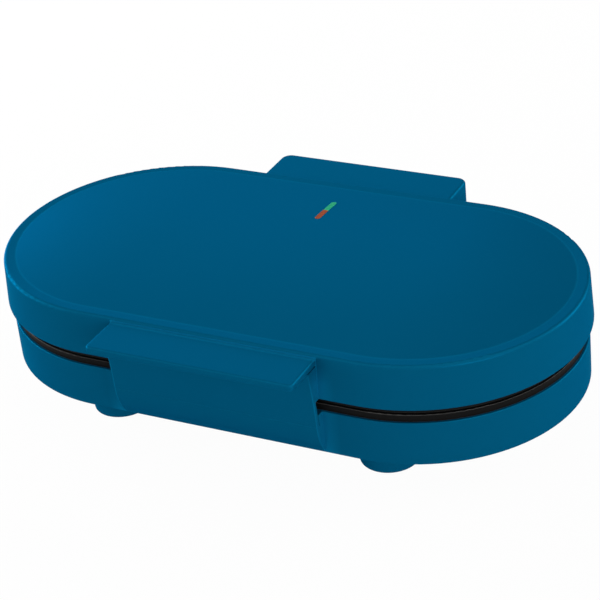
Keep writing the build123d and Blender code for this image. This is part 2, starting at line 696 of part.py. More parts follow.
# Lid housing: a crowned top inside a flat rim, over a leaning wall
with BuildSketch() as lid_section:
    with BuildLine():
        outside = crown_arc()
        inside = crown_arc(lift=-WALL)
        Polyline(
            outside @ 1,
            (LID_RIM_RADIUS, LID_TOP),
            (LID_RADIUS, LID_BOTTOM),
            (LEDGE_RADIUS, LID_BOTTOM),
            (LEDGE_RADIUS, LID_BOTTOM + LEDGE_DEPTH),
            (lid_wall(LID_BOTTOM + 2 * LEDGE_DEPTH) - WALL, LID_BOTTOM + 2 * LEDGE_DEPTH),
            (lid_wall(LID_TOP - WALL) - WALL, LID_TOP - WALL),
            inside @ 1,
        )
        Line(inside @ 0, outside @ 0)
    make_face()
    round_corner(lid_section, (CROWN_RADIUS, LID_TOP), RIM_CREASE)
    round_corner(lid_section, (LID_RIM_RADIUS, LID_TOP), RIM_ROUND)
    round_corner(lid_section, (LID_RADIUS, LID_BOTTOM), EDGE_ROUND)

front_plane = lid_side_plane(-1)
rear_plane = lid_side_plane(1)
handle_screws = [(place * HANDLE_SCREW_SPACING, 0) for place in (-1, 0, 1)]
hood_screws = [(side * KNUCKLE_X, row * HOOD_SCREW_SPACING / 2) for side in (-1, 1) for row in (-1, 1)]
SIDE_SCREWS = {front_plane: handle_screws, rear_plane: hood_screws}

with BuildSketch() as lid_envelope:
    with BuildLine():
        outside = crown_arc(lift=-WALL / 2)
        Polyline(outside @ 1, (CROWN_RADIUS, LID_BOTTOM), (0, LID_BOTTOM), outside @ 0)
    make_face()

window_front = WINDOW_Y - WINDOW_LENGTH / 2
window_rear = WINDOW_Y + WINDOW_LENGTH / 2
holder_length = WINDOW_LENGTH + 2 * (LENS_FLANGE + HOLDER_CLEARANCE)
holder_width = WINDOW_WIDTH + 2 * (LENS_FLANGE + HOLDER_CLEARANCE)
with BuildPart() as lid_housing:
    # Bosses for the plate, posts for the shield and a flat seat under the window
    with Locations(*at_level(PLATE_SCREWS, LID_BOTTOM)):
        Cylinder(BOSS_RADIUS, CROWN_TOP - LID_BOTTOM, align=CENTRED_UP)
    with Locations(*at_level(SHIELD_POSTS, UPPER_SHIELD_BACK)):
        Cylinder(SHIELD_POST_RADIUS, CROWN_TOP - UPPER_SHIELD_BACK, align=CENTRED_UP)
    with Locations((0, WINDOW_Y, WINDOW_SEAT)):
        Box(
            holder_width + 2 * HOLDER_WALL,
            holder_length + 2 * HOLDER_WALL,
            CROWN_TOP - WINDOW_SEAT,
            align=CENTRED_UP,
        )

    # They end in the crowned shell
    with BuildPart(mode=Mode.INTERSECT):
        around_outline(lid_envelope.sketch)
    around_outline(lid_section.sketch)

    # Pilot holes in bosses and posts
    with Locations(*at_level(PLATE_SCREWS, LID_BOTTOM)):
        Cylinder(
            PLATE_SCREW_RADIUS + SCREW_CLEARANCE,
            PLATE_SCREW_LENGTH,
            align=CENTRED_UP,
            mode=Mode.SUBTRACT,
        )
    with Locations(*at_level(SHIELD_POSTS, UPPER_SHIELD_BACK)):
        Cylinder(
            SHIELD_SCREW_RADIUS + SCREW_CLEARANCE,
            SHIELD_SCREW_LENGTH - SHIELD_THICKNESS,
            align=CENTRED_UP,
            mode=Mode.SUBTRACT,
        )

    # Window for the two lamps
    with BuildSketch(Plane.XY.offset(WINDOW_SEAT)):
        with Locations((0, WINDOW_Y)):
            SlotOverall(WINDOW_LENGTH, WINDOW_WIDTH, rotation=90)
    extrude(amount=CROWN_TOP - WINDOW_SEAT, mode=Mode.SUBTRACT)

    # Holes through the wall for the lead and for the screws of handle and hood
    with BuildSketch(Plane.XZ.offset(-LID_RADIUS)):
        with Locations((-LEAD_X, LID_LEAD_Z)):
            Circle(LEAD_RADIUS + LEAD_CLEARANCE)
    extrude(amount=WALL + LID_LEAN, mode=Mode.SUBTRACT)
    for plane, places in SIDE_SCREWS.items():
        with BuildSketch(plane):
            with Locations(*places):
                Circle(LID_SCREW_RADIUS + SCREW_CLEARANCE)
        extrude(amount=-WALL, mode=Mode.SUBTRACT)
save(lid_housing, "lid_housing")

# Handle: its lip and apron, with ribs and screw bosses behind
with BuildPart() as lift_handle:
    with BuildSketch(Plane.YZ):
        with Locations((-LID_RIM_RADIUS + WALL, HANDLE_TOP - LIP_THICKNESS / 2)):
            Rectangle(HANDLE_REACH - LID_RIM_RADIUS + WALL, LIP_THICKNESS, align=(Align.MAX, Align.CENTER))
    extrude(amount=HANDLE_HALF_WIDTH, both=True)
    fillet(lift_handle.edges().filter_by(Axis.Z).group_by(Axis.Y)[0], radius=HANDLE_CORNER)
    lip_front = lift_handle.faces().filter_by(Plane.XZ).sort_by(Axis.Y)[0]
    fillet(lip_front.edges().filter_by(Axis.X), radius=LIP_ROUND)
    extrude(front_block(APRON_BOTTOM, LIP_BOTTOM), amount=HANDLE_HALF_WIDTH, both=True)
    extrude(
        front_block(APRON_BOTTOM, LIP_BOTTOM, inset=WALL),
        amount=HANDLE_HALF_WIDTH - WALL,
        both=True,
        mode=Mode.SUBTRACT,
    )
    for place in (-APRON_RIB_SPACING, APRON_RIB_SPACING):
        rib = Pos(place, 0, 0) * front_block(APRON_BOTTOM, LIP_BOTTOM, inset=WALL / 2)
        extrude(rib, amount=APRON_RIB / 2, both=True)
    extrude(
        front_block(APRON_BOTTOM, LID_BOTTOM, inset=WALL),
        amount=HANDLE_HALF_WIDTH,
        both=True,
        mode=Mode.SUBTRACT,
    )
    with BuildSketch(front_plane):
        with Locations(*handle_screws):
            Circle(HANDLE_BOSS_RADIUS)
    extrude(amount=APRON_REACH - APRON_SWEEP - WALL / 2 - lid_wall(SIDE_SCREW_Z))
    with BuildSketch(front_plane):
        with Locations(*handle_screws):
            Circle(LID_SCREW_RADIUS + SCREW_CLEARANCE)
    extrude(amount=LID_SCREW_LENGTH - WALL, mode=Mode.SUBTRACT)
    with BuildSketch(Plane.YZ):
        with BuildLine():
            Polyline(
                (-LID_RADIUS, LID_BOTTOM),
                (-LID_RIM_RADIUS, LID_TOP),
                (0, LID_TOP),
                (0, LID_BOTTOM),
                close=True,
            )
        make_face()
    extrude(amount=2 * HANDLE_HALF_WIDTH, both=True, mode=Mode.SUBTRACT)
save(lift_handle, "lift_handle")

# Hood: an open-bottomed cap on the rear wall, with the hinge knuckles hanging in it
with BuildPart() as hinge_hood:
    hood_depth = HOOD_REACH - LID_RIM_RADIUS + WALL
    with BuildSketch(Plane.XY.offset(HOOD_BOTTOM)) as hood_plan:
        with Locations((0, HOOD_REACH - hood_depth / 2)):
            Rectangle(2 * HOOD_HALF_WIDTH, hood_depth)
        fillet(hood_plan.vertices().group_by(Axis.Y)[-1], radius=HOOD_CORNER)
    extrude(amount=HOOD_TOP - HOOD_BOTTOM)
    hood_top = hinge_hood.faces().filter_by(Plane.XY).sort_by(Axis.Z)[-1]
    fillet(hood_top.edges().sort_by(Axis.Y)[1:], radius=HOOD_ROUND)
    with BuildSketch(Plane.XY.offset(HOOD_BOTTOM)) as hood_hollow:
        with Locations((0, HOOD_REACH - WALL - hood_depth / 2)):
            Rectangle(2 * (HOOD_HALF_WIDTH - WALL), hood_depth)
        fillet(hood_hollow.vertices().group_by(Axis.Y)[-1], radius=HOOD_CORNER - WALL)
    extrude(amount=HOOD_TOP - HOOD_BOTTOM - WALL, mode=Mode.SUBTRACT)
    for side in (-1, 1):
        with BuildSketch(Plane.YZ.offset(side * KNUCKLE_X)):
            with Locations((HINGE_Y, HINGE_Z)):
                Circle(KNUCKLE_RADIUS)
            with BuildLine():
                Polyline(
                    (LID_RIM_RADIUS - WALL, HOOD_TOP - WALL),
                    (HOOD_REACH - WALL, HOOD_TOP - WALL),
                    (HINGE_Y + KNUCKLE_RADIUS, HINGE_Z),
                    (HINGE_Y - KNUCKLE_RADIUS, HINGE_Z),
                    (HINGE_Y - KNUCKLE_RADIUS, LID_BOTTOM + EDGE_ROUND),
                    (LID_RIM_RADIUS - WALL, LID_BOTTOM + LEDGE_DEPTH),
                    close=True,
                )
            make_face()
            with Locations((HINGE_Y, HINGE_Z)):
                Circle(PIN_RADIUS + PIN_CLEARANCE, mode=Mode.SUBTRACT)
        extrude(amount=KNUCKLE_WIDTH / 2, both=True)
    with BuildSketch(Plane.YZ):
        with BuildLine():
            Polyline(
                (0, HOOD_BOTTOM),
                (LID_RADIUS, HOOD_BOTTOM),
                (LID_RADIUS, LID_BOTTOM),
                (LID_RIM_RADIUS, LID_TOP),
                (0, LID_TOP),
                close=True,
            )
        make_face()
    extrude(amount=2 * HOOD_HALF_WIDTH, both=True, mode=Mode.SUBTRACT)
    with BuildSketch(rear_plane):
        with Locations(*hood_screws):
            Circle(LID_SCREW_RADIUS + SCREW_CLEARANCE)
    extrude(amount=LID_SCREW_LENGTH - WALL, mode=Mode.SUBTRACT)
save(hinge_hood, "hinge_hood")

# Screws from inside the lid, their heads on the inner face of the wall
screw_sets = {"handle_screws": (front_plane, handle_screws), "hood_screws": (rear_plane, hood_screws)}
wall_along_screw = WALL * LID_HEIGHT / (LID_HEIGHT**2 + LID_LEAN**2) ** 0.5
for name, (plane, places) in screw_sets.items():
    head_plane = plane.offset(-wall_along_screw)
    with BuildPart() as side_screws:
        with BuildSketch(head_plane):
            with Locations(*places):
                Circle(LID_SCREW_HEAD)
        extrude(amount=-LID_SCREW_HEAD_HEIGHT)
        with BuildSketch(head_plane):
            with Locations(*places):
                Circle(LID_SCREW_RADIUS)
        extrude(amount=LID_SCREW_LENGTH - SCREW_CLEARANCE)
    save(side_screws, name)

# Two lenses share the window, the power lens in front and the ready lens behind it
with BuildSketch(Plane.YZ) as lens_side:
    with BuildLine():
        face = crown_arc(lift=LENS_PROUD)
        Polyline(face @ 1, (CROWN_RADIUS, WINDOW_SEAT), (0, WINDOW_SEAT), face @ 0)
    make_face()
LENSES = {"power_lens": Keep.BOTTOM, "ready_lens": Keep.TOP}
for name, half in LENSES.items():
    lens_gap = WINDOW_GAP / 2 if half is Keep.TOP else -WINDOW_GAP / 2
    with BuildPart() as lens:
        with BuildSketch(Plane.XY.offset(WINDOW_SEAT)):
            with Locations((0, WINDOW_Y)):
                SlotOverall(WINDOW_LENGTH - 2 * WINDOW_GAP, WINDOW_WIDTH - 2 * WINDOW_GAP, rotation=90)
        extrude(amount=CROWN_TOP - WINDOW_SEAT)
        extrude(lens_side.sketch, amount=WINDOW_WIDTH, both=True, mode=Mode.INTERSECT)
        fillet(lens.faces().sort_by(Axis.Z)[-1].edges(), radius=LENS_PROUD)
        with BuildSketch(Plane.XY.offset(WINDOW_SEAT)):
            with Locations((0, WINDOW_Y)):
                SlotOverall(WINDOW_LENGTH + 2 * LENS_FLANGE, WINDOW_WIDTH + 2 * LENS_FLANGE, rotation=90)
        extrude(amount=-LENS_FLANGE_THICKNESS)
        divide = Plane(origin=(0, WINDOW_Y + lens_gap, WINDOW_SEAT), x_dir=(1, 0, 0), z_dir=(0, 1, 0))
        split(bisect_by=divide, keep=half)
    save(lens, name)

# Lamps lie in a holder under the lenses
lamp_z = WINDOW_SEAT - LENS_FLANGE_THICKNESS - HOLDER_CLEARANCE / 2 - LAMP_RADIUS
LAMPS = {"power_lamp": -WINDOW_LENGTH / 4, "ready_lamp": WINDOW_LENGTH / 4}
for name, offset in LAMPS.items():
    with BuildPart() as lamp:
        with Locations(Location((0, WINDOW_Y + offset, lamp_z), (90, 0, 0))):
            Cylinder(LAMP_RADIUS, LAMP_LENGTH)
        chamfer(lamp.edges().filter_by(GeomType.CIRCLE), length=LAMP_RADIUS / 3)
    save(lamp, name)

with BuildPart() as lamp_holder:
    with Locations((0, WINDOW_Y, WINDOW_SEAT)):
        Box(
            holder_width + 2 * HOLDER_WALL,
            holder_length + 2 * HOLDER_WALL,
            HOLDER_HEIGHT,
            align=CENTRED_DOWN,
        )
        Box(
            holder_width,
            holder_length,
            WINDOW_SEAT - lamp_z + LAMP_RADIUS,
            align=CENTRED_DOWN,
            mode=Mode.SUBTRACT,
        )
save(lamp_holder, "lamp_holder")

# Thermostat and thermal fuse lie on the upper plate
with BuildPart() as thermostat:
    with BuildSketch(Plane.XY.offset(UPPER_CUP_TOP)):
        with Locations((THERMOSTAT_X, 0)):
            Circle(THERMOSTAT_EAR_RADIUS + THERMOSTAT_RADIUS / 2)
        with Locations((THERMOSTAT_X, -THERMOSTAT_EAR_REACH), (THERMOSTAT_X, THERMOSTAT_EAR_REACH)):
            Circle(THERMOSTAT_EAR_RADIUS)
        make_hull()
    extrude(amount=THERMOSTAT_EAR_THICKNESS)
    with Locations((THERMOSTAT_X, 0, UPPER_CUP_TOP)):
        Cylinder(THERMOSTAT_RADIUS, THERMOSTAT_HEIGHT, align=CENTRED_UP)
save(thermostat, "thermostat")

with BuildPart() as thermal_fuse:
    with Locations(Location((-THERMOSTAT_X, 0, UPPER_CUP_TOP + FUSE_RADIUS + ELEMENT_SEAT_GAP), (90, 0, 0))):
        Cylinder(FUSE_RADIUS, FUSE_LENGTH)
save(thermal_fuse, "thermal_fuse")

with BuildPart() as fuse_strap:
    strap_height = 2 * FUSE_RADIUS + 2 * ELEMENT_SEAT_GAP
    with Locations((-THERMOSTAT_X, 0, UPPER_CUP_TOP)):
        Box(
            STRAP_LENGTH,
            STRAP_WIDTH,
            strap_height + STRAP_THICKNESS,
            align=CENTRED_UP,
        )
        Box(
            2 * (FUSE_RADIUS + ELEMENT_SEAT_GAP),
            STRAP_WIDTH,
            strap_height,
            align=CENTRED_UP,
            mode=Mode.SUBTRACT,
        )
    with Locations(
        *[
            (-THERMOSTAT_X + side * (STRAP_LENGTH / 2 + FUSE_RADIUS + STRAP_THICKNESS) / 2, 0, UPPER_CUP_TOP + STRAP_THICKNESS)
            for side in (-1, 1)
        ]
    ):
        Box(
            STRAP_LENGTH / 2 - FUSE_RADIUS - STRAP_THICKNESS,
            STRAP_WIDTH,
            strap_height,
            align=CENTRED_UP,
            mode=Mode.SUBTRACT,
        )
save(fuse_strap, "fuse_strap")

# Hinge pins: pressed into the lugs, running in the knuckles
PINS = {"hinge_pin_left": -KNUCKLE_X, "hinge_pin_right": KNUCKLE_X}
for name, place in PINS.items():
    with BuildPart() as hinge_pin:
        with BuildSketch(Plane.YZ.offset(place)):
            with Locations((HINGE_Y, HINGE_Z)):
                Circle(PIN_RADIUS)
        extrude(amount=KNUCKLE_WIDTH / 2 + KNUCKLE_GAP + LUG_THICKNESS, both=True)
        chamfer(hinge_pin.edges().filter_by(GeomType.CIRCLE), length=EDGE_ROUND / 2)
    save(hinge_pin, name)

# Cord gland in the rear wall, open for a supply cord, with its nut inside
gland_plane = Plane(origin=(GLAND_X, BASE_RADIUS, GLAND_Z), x_dir=(1, 0, 0), z_dir=(0, 1, 0))
with BuildPart() as cord_gland:
    with BuildSketch(gland_plane):
        Circle(GLAND_FLANGE)
    extrude(amount=GLAND_FLANGE_THICKNESS)
    with BuildSketch(gland_plane):
        Circle(GLAND_BODY)
    extrude(amount=GLAND_FLANGE_THICKNESS + GLAND_NOSE)
    chamfer(cord_gland.edges().group_by(Axis.Y)[-1], length=EDGE_ROUND)
    with BuildSketch(gland_plane):
        Circle(GLAND_BODY)
    extrude(amount=-WALL - GLAND_NUT_THICKNESS)
    with BuildSketch(gland_plane.offset(GLAND_FLANGE_THICKNESS + GLAND_NOSE)):
        Circle(GLAND_BORE)
    extrude(
        amount=-WALL - GLAND_NUT_THICKNESS - GLAND_FLANGE_THICKNESS - GLAND_NOSE,
        mode=Mode.SUBTRACT,
    )
save(cord_gland, "cord_gland")

with BuildPart() as gland_nut:
    with BuildSketch(gland_plane.offset(-WALL)):
        RegularPolygon(GLAND_NUT, 6)
        Circle(GLAND_BODY, mode=Mode.SUBTRACT)
    extrude(amount=-GLAND_NUT_THICKNESS)
save(gland_nut, "gland_nut")

# Terminal block on the floor of the base
with BuildPart() as terminal_block:
    with Locations((BLOCK_X, BLOCK_Y, FLOOR_TOP)):
        Box(BLOCK_LENGTH, BLOCK_WIDTH, BLOCK_HEIGHT, align=CENTRED_UP)
    fillet(terminal_block.edges().group_by(Axis.Z)[-1], radius=EDGE_ROUND)
    with Locations(*at_level(block_screws, FLOOR_TOP + BLOCK_HEIGHT)):
        CounterBoreHole(
            BLOCK_SCREW_RADIUS + SCREW_CLEARANCE,
            BLOCK_HEAD_RADIUS + SCREW_CLEARANCE,
            BLOCK_HEIGHT / 2,
        )
save(terminal_block, "terminal_block")

with BuildPart() as terminal_block_screws:
    with Locations(*at_level(block_screws, FLOOR_TOP + BLOCK_HEIGHT / 2)):
        Cylinder(BLOCK_HEAD_RADIUS, BLOCK_SCREW_RADIUS, align=CENTRED_UP)
        Cylinder(
            BLOCK_SCREW_RADIUS,
            BLOCK_HEIGHT / 2 + WALL / 2,
            align=CENTRED_DOWN,
        )
save(terminal_block_screws, "terminal_block_screws")

# Sleeved leads: the two runs meet end to end on the hinge axis, where they only twist
block_lead_x = BLOCK_X - BLOCK_SCREW_SPACING / 2 - BLOCK_HEAD_RADIUS - LEAD_RADIUS
LEADS = {
    "base_lead": [
        (0, HINGE_Y, HINGE_Z),
        (LEAD_X, HINGE_Y, HINGE_Z),
        (LEAD_X, HINGE_Y, BASE_LEAD_Z),
        (LEAD_X, BASE_LEAD_REACH, BASE_LEAD_Z),
        (block_lead_x, BASE_LEAD_REACH, BASE_LEAD_Z),
        (block_lead_x, BLOCK_Y, BASE_LEAD_Z),
        (block_lead_x, BLOCK_Y, FLOOR_TOP + BLOCK_HEIGHT),
    ],
    "lid_lead": [
        (0, HINGE_Y, HINGE_Z),
        (-LEAD_X, HINGE_Y, HINGE_Z),
        (-LEAD_X, HINGE_Y, LID_LEAD_Z),
        (-LEAD_X, LID_LEAD_REACH, LID_LEAD_Z),
    ],
}


def sweep_along(points, radius, bend):
    """Round bar along a line through the points, with its corners rounded to the bend."""
    with BuildLine() as path:
        FilletPolyline(*points, radius=bend)
    with BuildSketch(Plane(origin=path.line @ 0, z_dir=path.line % 0)) as section:
        Circle(radius)
    return section.sketch, path.line


for name, points in LEADS.items():
    with BuildPart() as lead:
        section, path = sweep_along(points, LEAD_RADIUS, LEAD_BEND)
        sweep(section, path=path)
    save(lead, name)

# Wires from the ends of the lower element behind the plate bosses to the terminal block
wire_low = FLOOR_TOP + WIRE_ABOVE_FLOOR
block_back = BLOCK_Y + BLOCK_WIDTH / 2
with BuildPart() as lower_element_leads:
    for row, side in enumerate((1, -1)):
        reach = WIRE_REACH + row * WIRE_PITCH
        level = wire_low + row * WIRE_PITCH
        end = BLOCK_X + row * 2 * WIRE_PITCH
        points = [
            (side * ELEMENT_END_X, TERMINAL_REACH, ELEMENT_Z),
            (side * ELEMENT_END_X, reach, ELEMENT_Z),
            (side * ELEMENT_END_X, reach, level),
            (end, reach, level),
            (end, block_back, level),
        ]
        section, path = sweep_along(points, WIRE_RADIUS, WIRE_BEND)
        sweep(section, path=path)
save(lower_element_leads, "lower_element_leads")

# Wires from the end of the lid lead to the ends of the upper element, and to the lamps
upper_element_z = 2 * MIDDLE - ELEMENT_Z
wire_y = LID_LEAD_REACH - WIRE_PITCH
wire_top = LID_TOP - WIRE_BELOW_RIM
with BuildPart() as upper_element_leads:
    near = [
        (-LEAD_X + WIRE_OFFSET, LID_LEAD_REACH, LID_LEAD_Z - WIRE_OFFSET),
        (-LEAD_X + WIRE_OFFSET, wire_y, LID_LEAD_Z - WIRE_OFFSET),
        (-ELEMENT_END_X, wire_y, upper_element_z),
        (-ELEMENT_END_X, TERMINAL_REACH, upper_element_z),
    ]
    far = [
        (-LEAD_X + WIRE_OFFSET, LID_LEAD_REACH, LID_LEAD_Z + WIRE_OFFSET),
        (-LEAD_X + WIRE_OFFSET, wire_y, LID_LEAD_Z + WIRE_OFFSET),
        (-LEAD_X + WIRE_OFFSET, wire_y, wire_top),
        (ELEMENT_END_X, wire_y, wire_top),
        (ELEMENT_END_X, wire_y, upper_element_z),
        (ELEMENT_END_X, TERMINAL_REACH, upper_element_z),
    ]
    for points in (near, far):
        section, path = sweep_along(points, WIRE_RADIUS, WIRE_BEND)
        sweep(section, path=path)
save(upper_element_leads, "upper_element_leads")

holder_side = -holder_width / 2 - HOLDER_WALL
with BuildPart() as lamp_lead:
    points = [
        (-LEAD_X - WIRE_OFFSET, LID_LEAD_REACH, LID_LEAD_Z),
        (-LEAD_X - WIRE_OFFSET, wire_y, LID_LEAD_Z),
        (-LEAD_X - WIRE_OFFSET, wire_y, wire_top),
        (-LEAD_X - WIRE_OFFSET, WINDOW_Y, wire_top),
        (holder_side, WINDOW_Y, wire_top),
    ]
    section, path = sweep_along(points, WIRE_RADIUS, WIRE_BEND)
    sweep(section, path=path)
save(lamp_lead, "lamp_lead")
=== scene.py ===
"""Looks of the pancake maker: materials, camera, floor and studio light."""
import json
import math

import bpy
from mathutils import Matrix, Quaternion, Vector

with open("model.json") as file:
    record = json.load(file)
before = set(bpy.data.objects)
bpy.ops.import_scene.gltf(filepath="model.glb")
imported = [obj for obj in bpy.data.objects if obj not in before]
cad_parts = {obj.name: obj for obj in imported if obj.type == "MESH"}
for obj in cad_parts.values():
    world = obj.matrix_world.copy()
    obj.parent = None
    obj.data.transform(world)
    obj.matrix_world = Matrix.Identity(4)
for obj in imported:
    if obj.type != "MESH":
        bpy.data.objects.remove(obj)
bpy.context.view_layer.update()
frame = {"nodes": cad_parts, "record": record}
nodes = frame["nodes"]
scene = bpy.context.scene
scene.view_settings.view_transform = "Standard"

# Camera at the photograph's angle
CAMERA_PLACE = Vector((0.57813, -1.00381, 0.72545))
CAMERA_TARGET = Vector((0.009884, -0.006734, 0.06364))
CAMERA_LENS = 123.58
CAMERA_ROLL = math.radians(-6.2)
SENSOR_WIDTH = 36
CLIP_START = 0.01

camera = bpy.data.objects.new("camera", bpy.data.cameras.new("camera"))
scene.collection.objects.link(camera)
camera.data.lens = CAMERA_LENS
camera.data.sensor_width = SENSOR_WIDTH
camera.data.clip_start = CLIP_START
camera.location = CAMERA_PLACE
camera.rotation_mode = "QUATERNION"
aim = (CAMERA_TARGET - CAMERA_PLACE).to_track_quat("-Z", "Y")
camera.rotation_quaternion = aim @ Quaternion((0, 0, 1), CAMERA_ROLL)
scene.camera = camera


# Material building blocks
class Material:
    """A node material with one Principled shader and a few short ways to add detail to it."""

    def __init__(self, name, color, roughness, metallic=0.0, specular=0.5, **sockets):
        self.material = bpy.data.materials.new(name)
        self.material.use_nodes = True
        self.tree = self.material.node_tree
        self.shader = self.tree.nodes["Principled BSDF"]
        self.color = color
        self.roughness = roughness
        plain = {"Base Color": (*color, 1), "Roughness": roughness, "Metallic": metallic}
        self.set(self.shader, {**plain, "Specular IOR Level": specular, **sockets})
        self.place = self.add("ShaderNodeTexCoord").outputs["Object"]
        self.normal = None

    def set(self, node, inputs):
        """Give a node's inputs numbers or link them to sockets."""
        for name, value in inputs.items():
            if isinstance(value, bpy.types.NodeSocket):
                self.tree.links.new(value, node.inputs[name])
            else:
                node.inputs[name].default_value = value

    def add(self, kind, inputs=None, **settings):
        """New node with its inputs and settings."""
        node = self.tree.nodes.new(kind)
        for name, value in settings.items():
            setattr(node, name, value)
        self.set(node, inputs or {})
        return node

    def math(self, operation, first, second=0.0):
        """Result of one sum on numbers or sockets."""
        return self.add("ShaderNodeMath", {0: first, 1: second}, operation=operation).outputs[0]

    def times(self, first, *others):
        """Product of numbers or sockets."""
        for other in others:
            first = self.math("MULTIPLY", first, other)
        return first

    def stretched(self, scale):
        """Place on the object, stretched along each axis."""
        return self.add("ShaderNodeMapping", {"Vector": self.place, "Scale": scale}).outputs[0]

    def noise(self, scale, detail=2.0, place=None):
        """Soft noise around 0.5, with so many features to a metre."""
        inputs = {"Vector": place or self.place, "Scale": scale, "Detail": detail}
        return self.add("ShaderNodeTexNoise", inputs).outputs[0]

    def cells(self, scale):
        """Distance to the middle of the nearest cell."""
        inputs = {"Vector": self.place, "Scale": scale}
        return self.add("ShaderNodeTexVoronoi", inputs).outputs["Distance"]

    def spread(self, value, low, high, start=0.35, end=0.65):
        """Carry a value between start and end to one between low and high."""
        limits = {"From Min": start, "From Max": end, "To Min": low, "To Max": high}
        return self.add("ShaderNodeMapRange", {"Value": value, **limits}).outputs[0]

    def tint(self, amount, color):
        """Mix another colour into the base by an amount."""
        base = self.shader.inputs["Base Color"]
        first = base.links[0].from_socket if base.is_linked else (*self.color, 1)
        inputs = {"Factor": amount, "A": first, "B": (*color, 1)}
        mixed = self.add("ShaderNodeMix", inputs, data_type="RGBA")
        self.tree.links.new(mixed.outputs["Result"], base)

    def vary_roughness(self, value, change):
        """Let the roughness follow a value, up and down by the change."""
        varied = self.spread(value, self.roughness - change, self.roughness + change)
        self.set(self.shader, {"Roughness": varied})

    def bump(self, height, depth, strength=1.0):
        """Raise the surface by a height between 0 and 1, up to a depth in metres."""
        inputs = {"Height": height, "Distance": depth, "Strength": strength}
        if self.normal:
            inputs["Normal"] = self.normal
        self.normal = self.add("ShaderNodeBump", inputs).outputs[0]
        self.set(self.shader, {"Normal": self.normal})

    def edges(self, radius):
        """How near the surface is to a sharp edge, from 0 to 1."""
        rounded = self.add("ShaderNodeBevel", {"Radius": radius}, samples=6).outputs[0]
        plain = self.add("ShaderNodeNewGeometry").outputs["Normal"]
        dot = self.add("ShaderNodeVectorMath", {0: rounded, 1: plain}, operation="DOT_PRODUCT")
        return self.spread(dot.outputs["Value"], 1.0, 0.0, start=0.82, end=0.99)

    def rounded_tops(self):
        """1 on the round between a top and a wall, 0 on the top and the wall themselves."""
        normal = self.add("ShaderNodeTexCoord").outputs["Normal"]
        up = self.add("ShaderNodeSeparateXYZ", {0: normal}).outputs["Z"]
        rise = self.spread(up, 0, 1, start=0.45, end=0.65)
        fall = self.spread(up, 1, 0, start=0.8, end=0.93)
        return self.times(rise, fall)


# Rim of the lid and lip of the handle in metres, as the solids have them
HALF_STRAIGHT = 0.095
CREASE_RADIUS = 0.0954
RIM_RADIUS = 0.1034
LIP_HALF_WIDTH = 0.071
LIP_TOP = 0.0886
LIP_BOTTOM = 0.0836
FRONT_WALL = -0.1

# Shading in metres: the rim's fall to the crease and the places about the handle where painted
# light lifts the shade
RIM_FALL = 0.0009
BESIDE_END = 0.082
BESIDE_FADE = 0.012
LIP_SEAM_FRONT = -0.107
LIP_SEAM_REAR = -0.1045

BLUE = (0.0004, 0.086, 0.177)
CLOUD_BLUE = (0.002, 0.1, 0.2)
HIGHLIGHT_BLUE = (0.002, 0.15, 0.28)
SHADE_LIFT_BLUE = (0.002, 0.17, 0.33)


def body_plastic(name):
    """Petrol blue moulding: satin gloss, fine grain, painted highlights on edges and rounds and
    painted light lifting the shade beside the handle.
    """
    made = Material(name, BLUE, roughness=0.38, metallic=0.2, specular=0.0)
    made.shader.inputs["Specular Tint"].default_value = (0.0, 0.5, 0.75, 1)
    cloud = made.noise(14, detail=3)
    made.tint(made.spread(cloud, 0, 0.12), CLOUD_BLUE)
    # Painted highlight along sharp edges.
    made.tint(made.times(made.edges(0.0008), 0.6), HIGHLIGHT_BLUE)
    # Painted highlight on the rounds between tops and walls.
    made.tint(made.times(made.rounded_tops(), 0.35), HIGHLIGHT_BLUE)
    place = made.add("ShaderNodeSeparateXYZ", {0: made.place}).outputs
    made.side = made.math("ABSOLUTE", place["X"])
    made.depth, made.height = place["Y"], place["Z"]
    # Painted light lifting the shade on the sides of the handle block and the walls beside it,
    # below the lip.
    shade_lift_beside_handle = made.times(
        made.spread(made.side, 0, 1, start=LIP_HALF_WIDTH - 0.0008, end=LIP_HALF_WIDTH - 0.0002),
        made.spread(made.side, 0.6, 0, start=LIP_HALF_WIDTH, end=BESIDE_END),
        made.math("LESS_THAN", made.depth, FRONT_WALL),
        made.spread(made.height, 1, 0, start=LIP_BOTTOM - BESIDE_FADE, end=LIP_BOTTOM),
    )
    made.tint(shade_lift_beside_handle, SHADE_LIFT_BLUE)
    made.vary_roughness(cloud, change=0.02)
    made.bump(made.noise(1800, detail=2), depth=0.00002, strength=0.5)
    made.bump(made.noise(60, detail=2), depth=0.00025, strength=0.12)
    return made


def lid_plastic():
    """The same moulding with the rim's fall to the crease, a painted highlight line along the
    crease and painted light lifting the shade on the wall just above the lip.
    """
    made = body_plastic("lid_plastic")
    past_straight = made.math("MAXIMUM", made.math("SUBTRACT", made.side, HALF_STRAIGHT))
    flat = made.add("ShaderNodeCombineXYZ", {"X": past_straight, "Y": made.depth}).outputs[0]
    radius = made.add("ShaderNodeVectorMath", {0: flat}, operation="LENGTH").outputs["Value"]
    made.bump(made.spread(radius, 0, 1, start=CREASE_RADIUS, end=RIM_RADIUS), RIM_FALL)

    # Painted highlight line along the crease.
    off_crease = made.math("ABSOLUTE", made.math("SUBTRACT", radius, CREASE_RADIUS))
    made.tint(made.spread(off_crease, 0.25, 0, start=0.0003, end=0.001), HIGHLIGHT_BLUE)
    # Painted light lifting the shade on the lid wall just above the lip, where the lip meets the
    # lid.
    seam_shade_lift = made.times(
        made.spread(made.height, 1, 0, start=LIP_TOP + 0.0004, end=LIP_TOP + 0.0012),
        made.math("LESS_THAN", made.side, LIP_HALF_WIDTH + 0.0003),
        made.math("LESS_THAN", made.depth, FRONT_WALL),
    )
    made.tint(seam_shade_lift, SHADE_LIFT_BLUE)
    return made


